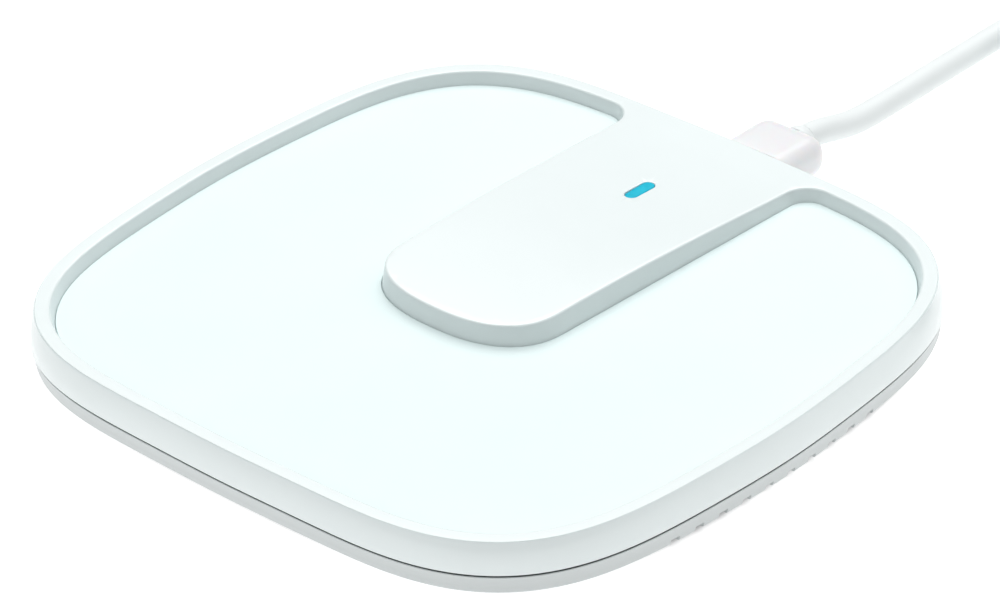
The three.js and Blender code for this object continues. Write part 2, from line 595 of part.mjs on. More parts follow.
function plug() {
  const { width, height, length } = PLUG_BODY;
  const tipY = PLUG_FACE_Y - PLUG_SHELL_REACH;
  const embeddedY = PLUG_FACE_Y + 3;
  const section = (inset) => roundedRectangle(
    width - 2 * inset, height - 2 * inset, height / 2 - 0.5 - inset, PORT_X, -PORT_Z,
  );
  const ends = [
    [0.3, 0], [0, 0.3], [0, length - 2.2], [0.3, length - 1.2], [0.8, length - 0.5], [1.5, length],
  ];
  const body = solid(loftAlongY(ends.map(([inset, y]) => [section(inset), PLUG_FACE_Y + y])));
  const { width: shellWidth, height: shellHeight, wall } = PLUG_SHELL;
  const round = shellHeight / 2 - 0.02;
  const socket = roundedRectangle(shellWidth + 0.1, shellHeight + 0.1, round, PORT_X, -PORT_Z);
  piece('usb_c_overmold', cut(body, prismAlongY(socket, PLUG_FACE_Y - 1, embeddedY + 0.1)), 'plugPlastic');
  const tube = sleeve(shellWidth, shellHeight, wall, PORT_X, PORT_Z, tipY, embeddedY, round);
  piece('usb_c_shell', tube, 'contactSteel');
  // The insert fills the shell but leaves its mouth open for the tongue of the port.
  const [innerWidth, innerHeight] = [shellWidth - 2 * wall - 0.1, shellHeight - 2 * wall - 0.1];
  const core = roundedRectangle(innerWidth, innerHeight, innerHeight / 2 - 0.02, PORT_X, -PORT_Z);
  const mouth = roundedRectangle(7, 0.95, 0.1, PORT_X, -PORT_Z, 2);
  const filling = solid(prismAlongY(core, tipY + 0.3, embeddedY - 0.1));
  const insert = cut(filling, prismAlongY(mouth, tipY - 1, tipY + 5.4));
  piece('usb_c_insert', insert, 'insertPlastic');
  const collarY = PLUG_FACE_Y + length + 0.2;
  const collar = [[2.1, 0], [2.15, 0.3], [2.05, 0.8], [1.95, 1.2]];
  const circle = (radius) => arc(PORT_X, -PORT_Z, radius, 0, TURN * (23 / 24), 23);
  const levels = collar.map(([radius, y]) => [circle(radius), collarY + y]);
  piece('usb_c_strain_relief', loftAlongY(levels), 'cordJacket');
}

receptacle();
plug();

// ---- cable ----

// From the plug the cord runs straight, comes down to the surface and goes on to the coil.
const cordRoute = [
  [PORT_X, CORD_START_Y, 3.56],
  [3.24, 59.5, 3.45],
  [3.34, 61, 3.21],
  [3.46, 62.5, 2.87],
  [3.58, 64, 2.5],
  [3.7, 66, 2.09],
  [3.78, 68, 1.85],
  [3.82, 70, 1.76],
  [3.83, 72, CORD_REST_Z],
  [3.84, 75, CORD_REST_Z],
  [3.85, 79, CORD_REST_Z],
  [3.87, 83, CORD_REST_Z],
  [3.89, 87, CORD_REST_Z],
  [3.9, 91, CORD_REST_Z],
  [3.9, 95, CORD_REST_Z],
  [3.9, 98.9, CORD_REST_Z],
];
piece('cord', wire(cordRoute, CORD_DIAMETER, 8, 14), 'cordJacket');

function cordCoil() {
  const outer = OUTER_TURN_RADIUS + CORD_DIAMETER / 2;
  const inner = outer - TURNS_ACROSS * CORD_DIAMETER;
  const top = COIL_LAYERS * CORD_DIAMETER;
  const profile = [[inner, 0], [outer, 0], [outer, top], [inner, top], [inner, 0]];
  const ring = solid(turned(profile, COIL_RING_X, COIL_RING_Y, 48));
  // Under the tie the turns are lifted, so that the strap can pass below them.
  const reach = outer + 5;
  const groove = box(inner - 5, reach, -3.6, 3.6, -1, 0.9).rotateZ((TURN * TIE_ANGLE) / 360);
  return cut(ring, groove.translate(COIL_RING_X, COIL_RING_Y, 0));
}

function cableTie() {
  const wall = 0.6;
  const gap = 0.3;
  const outer = OUTER_TURN_RADIUS + CORD_DIAMETER / 2;
  const inner = outer - TURNS_ACROSS * CORD_DIAMETER - 0.4; // the turns curve away inside the strap
  const height = COIL_LAYERS * CORD_DIAMETER + 2 * gap + wall;
  const width = outer - inner + 2 * gap;
  const middle = (outer + inner) / 2;
  const outside = roundedRectangle(width + 2 * wall, height + wall, 1.2, middle, -(height + wall) / 2);
  const inside = roundedRectangle(width, height - wall, 0.4, middle, -(height + wall) / 2);
  const strap = cut(solid(prismAlongY(outside, -3, 3)), prismAlongY(inside, -4, 4));
  return skinOf(strap).rotateZ((TURN * TIE_ANGLE) / 360).translate(COIL_RING_X, COIL_RING_Y, 0);
}

piece('cord_coil', cordCoil(), 'cordJacket');
piece('cable_tie', cableTie(), 'tieFabric');

const tailRoute = [
  [USB_A_X, COIL_RING_Y - 14, 4.5],
  [USB_A_X, COIL_RING_Y - 16, 4.3],
  [USB_A_X, COIL_RING_Y - 18, 4.15],
  [USB_A_X, USB_A_RELIEF_Y + 0.3, USB_A_Z],
];
piece('cord_tail', wire(tailRoute, CORD_DIAMETER, 8, 4), 'cordJacket');

// ---- USB-A plug ----

function usbAPlug() {
  const reliefLength = 7;
  const bodyBackY = USB_A_RELIEF_Y - reliefLength - 0.2;
  const bodyFrontY = bodyBackY - USB_A_BODY.length;
  const shellFrontY = bodyFrontY - USB_A_SHELL.length;
  const circle = (radius) => arc(USB_A_X, -USB_A_Z, radius, 0, TURN * (23 / 24), 23);
  const relief = [[3, bodyBackY + 0.2], [2.7, bodyBackY + 2.2], [2.1, USB_A_RELIEF_Y]];
  piece('usb_a_strain_relief', loftAlongY(relief.map(([radius, y]) => [circle(radius), y])), 'cordJacket');

  const { width, height } = USB_A_BODY;
  const section = (inset) =>
    roundedRectangle(width - 2 * inset, height - 2 * inset, 2.4 - inset, USB_A_X, -USB_A_Z);
  const ends = [
    [0.4, bodyFrontY], [0, bodyFrontY + 0.4], [0, bodyBackY - 3], [0.6, bodyBackY - 0.9], [1.6, bodyBackY],
  ];
  const body = solid(loftAlongY(ends.map(([inset, y]) => [section(inset), y])));
  const { width: shellWidth, height: shellHeight, wall } = USB_A_SHELL;
  const socket = roundedRectangle(shellWidth + 0.1, shellHeight + 0.1, 0.35, USB_A_X, -USB_A_Z, 2);
  const embeddedY = bodyFrontY + 4;
  piece('usb_a_overmold', cut(body, prismAlongY(socket, bodyFrontY - 1, embeddedY + 0.1)), 'plugPlastic');

  const tube = sleeve(shellWidth, shellHeight, wall, USB_A_X, USB_A_Z, shellFrontY, embeddedY, 0.35);
  const windows = [-1, 1].map((side) => box(
    USB_A_X + side * 2.6 - 1.1, USB_A_X + side * 2.6 + 1.1, shellFrontY + 5.2, shellFrontY + 7.4,
    USB_A_Z, USB_A_Z + 4,
  ));
  piece('usb_a_shell', cut(tube, ...windows), 'contactSteel');

  // The insulator lies in the lower half of the shell and carries four contacts.
  const [halfWidth, floorZ] = [shellWidth / 2 - wall - 0.05, USB_A_Z - shellHeight / 2 + wall + 0.05];
  const insulatorTopZ = floorZ + 1.8;
  const insulator = box(
    USB_A_X - halfWidth, USB_A_X + halfWidth, shellFrontY + 0.6, embeddedY - 0.1, floorZ, insulatorTopZ,
  );
  piece('usb_a_insulator', insulator, 'insertPlastic');
  [-3.5, -1, 1, 3.5].forEach((x, i) => {
    const contact = box(
      USB_A_X + x - 0.5, USB_A_X + x + 0.5, shellFrontY + 1.4, shellFrontY + 9,
      insulatorTopZ + SEAT_GAP, insulatorTopZ + SEAT_GAP + 0.2,
    );
    piece(`usb_a_contact_${i + 1}`, contact, 'contactGold');
  });
}

usbAPlug();

export default object;
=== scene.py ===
"""The looks of a wireless charging pad and its cable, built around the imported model.

Lengths are in metres and +Z is up. The pad stands on the plane z = 0 and its cable leaves towards +Y.
"""

import json
import math

import bmesh
import bpy
from mathutils import Matrix, Quaternion, Vector
from mathutils.geometry import delaunay_2d_cdt


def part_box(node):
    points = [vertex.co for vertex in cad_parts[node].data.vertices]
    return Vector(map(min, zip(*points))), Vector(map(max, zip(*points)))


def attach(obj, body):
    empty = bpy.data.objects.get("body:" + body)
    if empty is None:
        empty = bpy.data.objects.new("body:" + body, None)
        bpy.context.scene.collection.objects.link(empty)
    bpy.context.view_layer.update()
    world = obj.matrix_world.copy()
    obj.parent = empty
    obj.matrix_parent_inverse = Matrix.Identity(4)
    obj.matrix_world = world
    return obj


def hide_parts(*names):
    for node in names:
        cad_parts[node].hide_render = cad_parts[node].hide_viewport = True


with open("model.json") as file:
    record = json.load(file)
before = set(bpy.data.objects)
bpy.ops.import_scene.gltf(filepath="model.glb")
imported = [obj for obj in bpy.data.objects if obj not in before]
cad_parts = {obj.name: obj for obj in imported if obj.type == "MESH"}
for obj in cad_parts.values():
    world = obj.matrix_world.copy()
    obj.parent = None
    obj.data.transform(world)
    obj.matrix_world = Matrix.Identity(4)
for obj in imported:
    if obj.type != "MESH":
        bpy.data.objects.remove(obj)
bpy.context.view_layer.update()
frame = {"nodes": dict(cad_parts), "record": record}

MM = 0.001
TURN = 2 * math.pi

# ---- sizes of the pad ----

PAD_HALF_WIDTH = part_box("top_cover")[1].x
PAD_HALF_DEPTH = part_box("top_cover")[1].y
PAD_CORNER_REACH = 57.1 * MM
PAD_SIDE_FLATNESS = 0.53 * MM
OUTLINE_STEPS = 288
INNER_OUTLINE_STEPS = 144

BASE_BOTTOM_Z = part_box("base_cover")[0].z
BASE_FLOOR = 1.25 * MM
PARTING_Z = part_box("top_cover")[0].z
PARTING_GAP = 0.35 * MM
RIM_Z = 7.3 * MM
SURFACE_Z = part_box("charging_surface")[1].z
SEAT_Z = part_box("charging_surface")[0].z - 0.05 * MM
CEILING_Z = 4.1 * MM
HOLLOW_TOP_Z = RIM_Z - 1.2 * MM
REBATE_INSET = 1.2 * MM
LIP_INSET = 1.35 * MM
LIP_HEIGHT = 0.6 * MM
BASE_WALL_INSET = 2.15 * MM
FOOT_POCKET_RADIUS = 4.6 * MM
FOOT_RECESS = 0.65 * MM

CREASE_INSET = 0.9 * MM
RIM_INNER_INSET = 2.9 * MM
POCKET_DRAFT = 0.45 * MM
POCKET_EDGE_ROUND = 0.35 * MM
POCKET_FILLET = 3.6 * MM
SURFACE_GAP = 0.08 * MM

TONGUE_BACK_HALF_WIDTH = 14.45 * MM
TONGUE_FRONT_HALF_WIDTH = 13.05 * MM
TONGUE_FRONT_Y = -8.5 * MM
TONGUE_LEAN = -1.2 * MM
TONGUE_END_LENGTH = 8.8 * MM
TONGUE_END_POWER = 2.45
CROWN_TOP_Y = 9 * MM
CROWN_END_Y = 43 * MM
CROWN_HEIGHT = 1.1 * MM

LED_Y = 29 * MM
LED_LENGTH = 4.8 * MM
LED_WIDTH = 1.7 * MM

VENTS_PER_SIDE = 10
VENT_PITCH = 3.95 * MM
VENT_WIDTH = 1.4 * MM
VENT_LENGTH = 7.5 * MM
VENT_HEIGHT = 0.75 * MM
VENT_MIDDLE_X = 48.25 * MM
VENT_MIDDLE_Y = -1.9 * MM

SCREW_X = 33 * MM
SCREW_Y = 30 * MM
CUT_PAST = 1 * MM  # how far a cutting tool reaches past what it cuts

# ---- sizes of the plugs and the cable ----

PORT_X = 3.2 * MM
PORT_Z = 3.6 * MM
PORT_FACE_Y = 46.9 * MM
PORT_WIDTH = 9.54 * MM
PORT_HEIGHT = 3.86 * MM
PORT_DEPTH = 8.3 * MM

CORD_DIAMETER = 3.5 * MM
CORD_REST_Z = CORD_DIAMETER / 2
CORD_ROUTE = [
    (0.0032, 0.0578, 0.00356),
    (0.00324, 0.0595, 0.00345),
    (0.00334, 0.0610, 0.00321),
    (0.00346, 0.0625, 0.00287),
    (0.00358, 0.0640, 0.0025),
    (0.0037, 0.0660, 0.00209),
    (0.00378, 0.0680, 0.00185),
    (0.00382, 0.0700, 0.00176),
    (0.00383, 0.0720, 0.00175),
    (0.00384, 0.0750, 0.00175),
    (0.00385, 0.0790, 0.00175),
    (0.00387, 0.0830, 0.00175),
    (0.00389, 0.0870, 0.00175),
    (0.0039, 0.0910, 0.00175),
    (0.0039, 0.0950, 0.00175),
    (0.0039, 0.0989, 0.00175),
]
TAIL_ROUTE = [
    (0.0559, 0.0990, 0.0045),
    (0.0559, 0.0970, 0.0043),
    (0.0559, 0.0950, 0.00415),
    (0.0559, 0.0923, 0.0041),
]
COIL_X = 29.9 * MM
COIL_Y = 113 * MM
COIL_RADIUS = 26 * MM
COIL_TRACKS = 4
TIE_ANGLE = math.radians(35)

# ---- light ----

DOME_LOW = 0.2
DOME_HIGH = 0.6
OVERHEAD_POWER = 6.4
FRONT_POWER = 0.9
RIGHT_POWER = 0.75
FLOOR_GLOW = 0.75
FOOTPRINT_POWER = 3.24  # the superellipse that is closest to the pad's outline
FOOTPRINT_DARK = 0.86
FOOTPRINT_EDGE = 0.95


# ---- plan outlines: lists of 2D points, anticlockwise ----

def outline_radius(angle):
    side = (PAD_HALF_WIDTH + PAD_HALF_DEPTH) / 2
    second = (PAD_HALF_WIDTH - PAD_HALF_DEPTH) / 2
    fourth = (side - PAD_CORNER_REACH) / 2
    mean = (side + PAD_CORNER_REACH) / 2 - PAD_SIDE_FLATNESS
    return mean + second * math.cos(2 * angle) + fourth * math.cos(4 * angle) \
        + PAD_SIDE_FLATNESS * math.cos(8 * angle)


def outline_point(angle, inset):
    """A point of the pad's outline, moved inwards along the outline's own normal."""
    def at(a):
        return Vector((math.cos(a), math.sin(a))) * outline_radius(a)
    along = (at(angle + 1e-4) - at(angle - 1e-4)).normalized()
    return at(angle) + Vector((-along.y, along.x)) * inset


def pad_outline(inset, steps=OUTLINE_STEPS):
    return [outline_point(TURN * i / steps, inset) for i in range(steps)]


def arc(centre, radius, start, end, steps):
    points = []
    for i in range(steps + 1):
        angle = start + (end - start) * i / steps
        points.append(Vector((centre.x + radius * math.cos(angle), centre.y + radius * math.sin(angle))))
    return points


def arc_ring(x, y, radius, steps):
    """A full circle, without its first point again at the end."""
    return arc(Vector((x, y)), radius, 0, TURN, steps)[:-1]


def between(a, b, steps):
    """The points between a and b, without either."""
    return [a.lerp(b, i / steps) for i in range(1, steps)]


def tongue_share(y):
    """How far forward on the tongue y is: 0 at its back end, 1 at its front end."""
    return (CROWN_END_Y - y) / (CROWN_END_Y - TONGUE_FRONT_Y)


def tongue_middle_x(y):
    return TONGUE_LEAN * tongue_share(y)


def tongue_half_width(y):
    return TONGUE_BACK_HALF_WIDTH + (TONGUE_FRONT_HALF_WIDTH - TONGUE_BACK_HALF_WIDTH) * tongue_share(y)


def tongue_end(grow, steps=52):
    """The round front end of the tongue, from its right side to its left, moved outwards by grow."""
    power = 2 / TONGUE_END_POWER

    def at(angle):
        y = TONGUE_FRONT_Y + TONGUE_END_LENGTH * (1 - math.sin(angle) ** power)
        across = math.copysign(abs(math.cos(angle)) ** power, math.cos(angle))
        return Vector((tongue_middle_x(y) + across * tongue_half_width(y), y))

    step = 1e-3
    last = TURN / 2 - 1e-9
    points = []
    for i in range(steps + 1):
        angle = last * i / steps
        along = (at(min(angle + step, last)) - at(max(angle - step, 0))).normalized()
        points.append(at(angle) + Vector((-along.y, along.x)) * grow)
    return points


def pocket_fillet(side):
    """The fillet between the rim and a side of the tongue: centre, angle on the outline, starting angle."""
    low, high = TURN / 8, TURN / 4

    def centre_at(angle):
        return outline_point(angle if side > 0 else TURN / 2 - angle, RIM_INNER_INSET + POCKET_FILLET)

    for _ in range(40):
        middle = (low + high) / 2
        centre = centre_at(middle)
        if side * (centre.x - tongue_middle_x(centre.y)) > tongue_half_width(centre.y) + POCKET_FILLET:
            low = middle
        else:
            high = middle
    centre = centre_at(low)
    angle = low if side > 0 else TURN / 2 - low
    touch = outline_point(angle, 0) - centre
    return centre, angle, math.atan2(touch.y, touch.x)


def pocket_outline(depth):
    """Outline of the recess around the tongue, moved towards the inside of the recess by depth."""
    right_centre, right_angle, right_touch = pocket_fillet(1)
    left_centre, left_angle, left_touch = pocket_fillet(-1)
    radius = POCKET_FILLET - depth
    rim_steps = 240
    rim = []
    for i in range(1, rim_steps):
        angle = left_angle + (right_angle + TURN - left_angle) * i / rim_steps
        rim.append(outline_point(angle, RIM_INNER_INSET + depth))
    right_fillet = arc(right_centre, radius, right_touch, TURN / 2, 14)
    left_fillet = arc(left_centre, radius, 0, left_touch, 14)
    end = tongue_end(depth)
    side_steps = 26
    return [
        *rim,
        *right_fillet,
        *between(right_fillet[-1], end[0], side_steps),
        *end,
        *between(end[-1], left_fillet[0], side_steps),
        *left_fillet,
    ]


def rounded_rectangle(width, height, radius, x=0.0, y=0.0, steps=10):
    cx, cy = width / 2 - radius, height / 2 - radius
    points = []
    for i, (sx, sy) in enumerate([(1, 1), (-1, 1), (-1, -1), (1, -1)]):
        points += arc(Vector((x + sx * cx, y + sy * cy)), radius, TURN * i / 4, TURN * (i + 1) / 4, steps)
    return [p for i, p in enumerate(points) if (p - points[i - 1]).length > 1e-7]


def slot_outline(grow, steps=16):
    """Outline of the status light's slot, grown outwards."""
    width, length = LED_WIDTH + 2 * grow, LED_LENGTH + 2 * grow
    return rounded_rectangle(width, length, width / 2 * 0.999, 0, LED_Y, steps)


# ---- meshes ----

def object_from(name, bm):
    bmesh.ops.recalc_face_normals(bm, faces=bm.faces)
    mesh = bpy.data.meshes.new(name)
    bm.to_mesh(mesh)
    bm.free()
    made = bpy.data.objects.new(name, mesh)
    bpy.context.scene.collection.objects.link(made)
    shade(made)
    return made


def shade(piece, smooth_angle=35):
    """Smooth shading, with edges sharper than the angle kept crisp."""
    mesh = piece.data
    mesh.shade_smooth()
    mesh.set_sharp_from_angle(angle=math.radians(smooth_angle))


def add_ring(bm, points, height):
    """Vertices at the points; height is a number, or a function of the point."""
    return [bm.verts.new((p.x, p.y, height(p) if callable(height) else height)) for p in points]


def bridge(bm, lower, upper):
    """Quads between two rings of equal length."""
    count = len(lower)
    for i in range(count):
        j = (i + 1) % count
        bm.faces.new((lower[i], lower[j], upper[j], upper[i]))


def skin(bm, levels):
    """Quads through levels of (points, height); gives the first ring and the last."""
    rings = [add_ring(bm, points, height) for points, height in levels]
    for lower, upper in zip(rings, rings[1:]):
        bridge(bm, lower, upper)
    return rings[0], rings[-1]


def inside(point, ring):
    """True if the point of the plan is inside the ring."""
    crossings = 0
    for i, b in enumerate(ring):
        a = ring[i - 1]
        if (a.y > point.y) != (b.y > point.y):
            crossings += point.x < a.x + (b.x - a.x) * (point.y - a.y) / (b.y - a.y)
    return crossings % 2 == 1


def fill(bm, outer, holes, inner_points, height):
    """Triangles between an outer ring and its holes, through further points of the surface."""
    known = [v for ring in (outer, *holes) for v in ring]
    plan = [Vector(v.co.xy) for v in known] + list(inner_points)
    edges = []
    first = 0
    for ring in (outer, *holes):
        edges += [(first + i, first + (i + 1) % len(ring)) for i in range(len(ring))]
        first += len(ring)
    plan_made, _, triangles, origin, _, _ = delaunay_2d_cdt(plan, edges, [], 1, 1e-9)
    verts = []
    for point, sources in zip(plan_made, origin):
        if sources and sources[0] < len(known):
            verts.append(known[sources[0]])
        else:
            verts.append(bm.verts.new((point.x, point.y, height(point))))
    hole_rings = [(set(ring), [v.co.xy for v in ring]) for ring in holes]
    for triangle in triangles:
        corners = [verts[i] for i in triangle]
        middle = sum((v.co.xy for v in corners), Vector((0, 0))) / 3
        if not any(members.issuperset(corners) and inside(middle, ring) for members, ring in hole_rings):
            bm.faces.new(corners)


def loft(name, levels):
    """A closed piece through levels of (points, height)."""
    bm = bmesh.new()
    first, last = skin(bm, levels)
    bm.faces.new(list(reversed(first)))
    bm.faces.new(last)
    return object_from(name, bm)


def along_y(piece):
    """Turns a loft up Z into one along Y: the outlines are cross-sections in X and -Z."""
    for vertex in piece.data.vertices:
        x, y, z = vertex.co
        vertex.co = (x, z, -y)
    piece.data.update()
    return piece


def loft_along_y(name, levels):
    return along_y(loft(name, levels))


def turned(name, profile, x, y, steps=64):
    """A round piece about a vertical axis; the profile is (radius, z) pairs from its middle to its middle."""
    bm = bmesh.new()
    first, last = skin(bm, [(arc_ring(x, y, radius, steps), z) for radius, z in profile[1:-1]])
    for ring, (_, z) in ((first, profile[0]), (last, profile[-1])):
        tip = bm.verts.new((x, y, z))
        for i in range(steps):
            bm.faces.new((ring[i], ring[(i + 1) % steps], tip))
    return object_from(name, bm)


def combine(piece, tools, operation):
    """Cuts the tools out of a piece or joins them to it, and removes the tools."""
    for tool in tools:
        modifier = piece.modifiers.new("combine", "BOOLEAN")
        modifier.operation = operation
        modifier.solver = "MANIFOLD"
        modifier.object = tool
    bpy.context.view_layer.update()
    evaluated = piece.evaluated_get(bpy.context.evaluated_depsgraph_get())
    made = bpy.data.meshes.new_from_object(evaluated)
    made.name = piece.name
    piece.modifiers.clear()
    piece.data = made
    for tool in tools:
        bpy.data.objects.remove(tool)
    shade(piece)


def even_shading(piece):
    """Large flat faces keep a flat look beside the small rounded edges."""
    modifier = piece.modifiers.new("weighted_normal", "WEIGHTED_NORMAL")
    modifier.keep_sharp = True
    modifier.weight = 80


# ---- materials ----

def material(name, colour, roughness, metallic=0.0, coat=0.0, subsurface=0.0):
    """A Principled material and its node tree; colour is linear RGB."""
    made = bpy.data.materials.new(name)
    made.use_nodes = True
    shader = made.node_tree.nodes["Principled BSDF"]
    shader.inputs["Base Color"].default_value = (*colour, 1)
    shader.inputs["Roughness"].default_value = roughness
    shader.inputs["Metallic"].default_value = metallic
    shader.inputs["Coat Weight"].default_value = coat
    shader.inputs["Coat Roughness"].default_value = 0.08
    shader.inputs["Subsurface Weight"].default_value = subsurface
    shader.inputs["Subsurface Scale"].default_value = 1 * MM
    return made, shader


def noise(tree, size, detail=3.0, roughness=0.5):
    """Noise whose features measure about size, placed in the row frame."""
    place = tree.nodes.new("ShaderNodeTexCoord")
    texture = tree.nodes.new("ShaderNodeTexNoise")
    texture.inputs["Scale"].default_value = 1 / size
    texture.inputs["Detail"].default_value = detail
    texture.inputs["Roughness"].default_value = roughness
    tree.links.new(place.outputs["Object"], texture.inputs["Vector"])
    return texture.outputs["Fac"]


def spread(tree, value, low, high):
    """Maps 0.3..0.7 of a noise to low..high."""
    ranged = tree.nodes.new("ShaderNodeMapRange")
    ranged.inputs["From Min"].default_value = 0.3
    ranged.inputs["From Max"].default_value = 0.7
    ranged.inputs["To Min"].default_value = low
    ranged.inputs["To Max"].default_value = high
    tree.links.new(value, ranged.inputs["Value"])
    return ranged.outputs["Result"]


def blend_colours(tree, value, first, second):
    mix = tree.nodes.new("ShaderNodeMix")
    mix.data_type = "RGBA"
    mix.inputs["A"].default_value = (*first, 1)
    mix.inputs["B"].default_value = (*second, 1)
    tree.links.new(value, mix.inputs["Factor"])
    return mix.outputs["Result"]


def bump(tree, height, strength, distance):
    node = tree.nodes.new("ShaderNodeBump")
    node.inputs["Strength"].default_value = strength
    node.inputs["Distance"].default_value = distance
    tree.links.new(height, node.inputs["Height"])
    return node.outputs["Normal"]


def moulded(name, colour, roughness, grain, grain_depth, coat=0.0, subsurface=0.0, shade_change=0.02):
    """Moulded plastic: a faint cloudiness in its colour, an uneven sheen and a fine grain."""
    made, shader = material(name, colour, roughness, coat=coat, subsurface=subsurface)
    tree = made.node_tree
    cloud = spread(tree, noise(tree, 18 * MM), 0, 1)
    darker = [channel * (1 - shade_change) for channel in colour]
    tree.links.new(blend_colours(tree, cloud, colour, darker), shader.inputs["Base Color"])
    sheen = spread(tree, noise(tree, 5 * MM), roughness * 0.92, roughness * 1.08)
    tree.links.new(sheen, shader.inputs["Roughness"])
    tree.links.new(bump(tree, noise(tree, grain, 4), 0.35, grain_depth), shader.inputs["Normal"])
    return made


def metal(name, colour, roughness):
    """Plated metal with fine drawing marks."""
    made, shader = material(name, colour, roughness, metallic=1.0)
    tree = made.node_tree
    tone = spread(tree, noise(tree, 2 * MM), 0, 1)
    darker = [channel * 0.88 for channel in colour]
    tree.links.new(blend_colours(tree, tone, colour, darker), shader.inputs["Base Color"])
    sheen = spread(tree, noise(tree, 0.4 * MM, 5), roughness * 0.8, roughness * 1.25)
    tree.links.new(sheen, shader.inputs["Roughness"])
    tree.links.new(bump(tree, noise(tree, 0.15 * MM, 5), 0.3, 0.01 * MM), shader.inputs["Normal"])
    return made


def glowing():
    """The status light: cyan, with a faint uneven glow."""
    made, shader = material("light_pipe", (0.008, 0.43, 0.58), 0.55)
    tree = made.node_tree
    glow = spread(tree, noise(tree, 1.2 * MM, 1), 0, 1)
    colour = blend_colours(tree, glow, (0.005, 0.40, 0.55), (0.012, 0.47, 0.62))
    tree.links.new(colour, shader.inputs["Base Color"])
    tree.links.new(colour, shader.inputs["Emission Color"])
    shader.inputs["Emission Strength"].default_value = 0.12
    shader.inputs["Specular IOR Level"].default_value = 0.15
    return made


def litz():
    """Enamelled copper strands, wound along the turn."""
    made, shader = material("copper_litz", (0.55, 0.20, 0.07), 0.42, metallic=0.9)
    tree = made.node_tree
    tone = spread(tree, noise(tree, 0.6 * MM, 5), 0, 1)
    colour = blend_colours(tree, tone, (0.60, 0.23, 0.08), (0.40, 0.12, 0.04))
    tree.links.new(colour, shader.inputs["Base Color"])
    tree.links.new(bump(tree, noise(tree, 0.25 * MM, 4), 0.8, 0.05 * MM), shader.inputs["Normal"])
    return made


def woven():
    """The fabric of the cable tie: fine crossing ribs."""
    made, shader = material("tie_fabric", (0.72, 0.76, 0.76), 0.9)
    tree = made.node_tree
    place = tree.nodes.new("ShaderNodeTexCoord")
    heights = []
    for direction in ("X", "Z"):
        wave = tree.nodes.new("ShaderNodeTexWave")
        wave.bands_direction = direction
        wave.inputs["Scale"].default_value = 1 / (2.2 * MM)
        wave.inputs["Distortion"].default_value = 1.5
        tree.links.new(place.outputs["Object"], wave.inputs["Vector"])
        heights.append(wave.outputs["Fac"])
    weave = tree.nodes.new("ShaderNodeMath")
    weave.operation = "MULTIPLY"
    tree.links.new(heights[0], weave.inputs[0])
    tree.links.new(heights[1], weave.inputs[1])
    tone = blend_colours(tree, weave.outputs["Value"], (0.62, 0.66, 0.66), (0.80, 0.84, 0.84))
    tree.links.new(tone, shader.inputs["Base Color"])
    tree.links.new(bump(tree, weave.outputs["Value"], 0.7, 0.12 * MM), shader.inputs["Normal"])
    return made


MATERIALS = {
    "glossy_shell": moulded("glossy_shell", (0.85, 0.92, 0.92), 0.22, 0.9 * MM, 0.002 * MM, coat=0.35),
    "satin_surface": moulded("satin_surface", (0.81, 0.93, 0.93), 0.5, 0.12 * MM, 0.006 * MM),
    # base_shell: a darker grey than the cover, as painted shade for the lower band that faces down
    "base_shell": moulded("base_shell", (0.66, 0.70, 0.70), 0.42, 0.2 * MM, 0.008 * MM),
    "silicone": moulded("silicone", (0.50, 0.53, 0.53), 0.8, 0.25 * MM, 0.02 * MM),
    "screw_steel": metal("screw_steel", (0.52, 0.53, 0.54), 0.35),
    "light_pipe": glowing(),
    "led_body": moulded("led_body", (0.85, 0.80, 0.62), 0.4, 0.1 * MM, 0.01 * MM),
    "copper_litz": litz(),
    "ferrite": moulded("ferrite", (0.03, 0.031, 0.034), 0.6, 0.3 * MM, 0.03 * MM, shade_change=0.3),
    "board_green": moulded("board_green", (0.012, 0.12, 0.045), 0.4, 0.2 * MM, 0.01 * MM, shade_change=0.25),
    "chip_black": moulded("chip_black", (0.018, 0.018, 0.019), 0.5, 0.08 * MM, 0.01 * MM, shade_change=0.2),
    "ceramic": moulded("ceramic", (0.36, 0.24, 0.12), 0.45, 0.15 * MM, 0.02 * MM, shade_change=0.15),
    "thermal_grey": moulded("thermal_grey", (0.26, 0.30, 0.36), 0.9, 0.4 * MM, 0.05 * MM, shade_change=0.1),
    "contact_steel": metal("contact_steel", (0.62, 0.63, 0.64), 0.28),
    "contact_gold": metal("contact_gold", (0.83, 0.60, 0.22), 0.25),
    "plug_plastic": moulded("plug_plastic", (0.81, 0.815, 0.83), 0.32, 0.3 * MM, 0.004 * MM, subsurface=0.25),
    "insert_plastic": moulded("insert_plastic", (0.72, 0.73, 0.73), 0.5, 0.1 * MM, 0.01 * MM),
    "cord_jacket": moulded("cord_jacket", (0.82, 0.86, 0.86), 0.45, 0.35 * MM, 0.01 * MM),
    "tie_fabric": woven(),
}
# painted shade: the upright walls of the recess and the tongue are coloured darker than the glossy shell
RECESS_WALL_SHADE = moulded("recess_wall_shade", (0.77, 0.84, 0.84), 0.32, 0.5 * MM, 0.003 * MM, coat=0.2)
# painted shadow in the parting gap: a dark colour for the base's ledge and lip
SHADOW_LIP = moulded("shadow_lip", (0.10, 0.11, 0.11), 0.6, 0.2 * MM, 0.01 * MM)


def finish_piece(piece, body, slot, *nodes):
    """Gives a new piece its finish, its body and the CAD nodes it stands for."""
    piece.data.materials.clear()
    piece.data.materials.append(MATERIALS[slot])
    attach(piece, body)
    if nodes:
        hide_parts(*nodes)
    return piece


# ---- camera, lights and floor ----

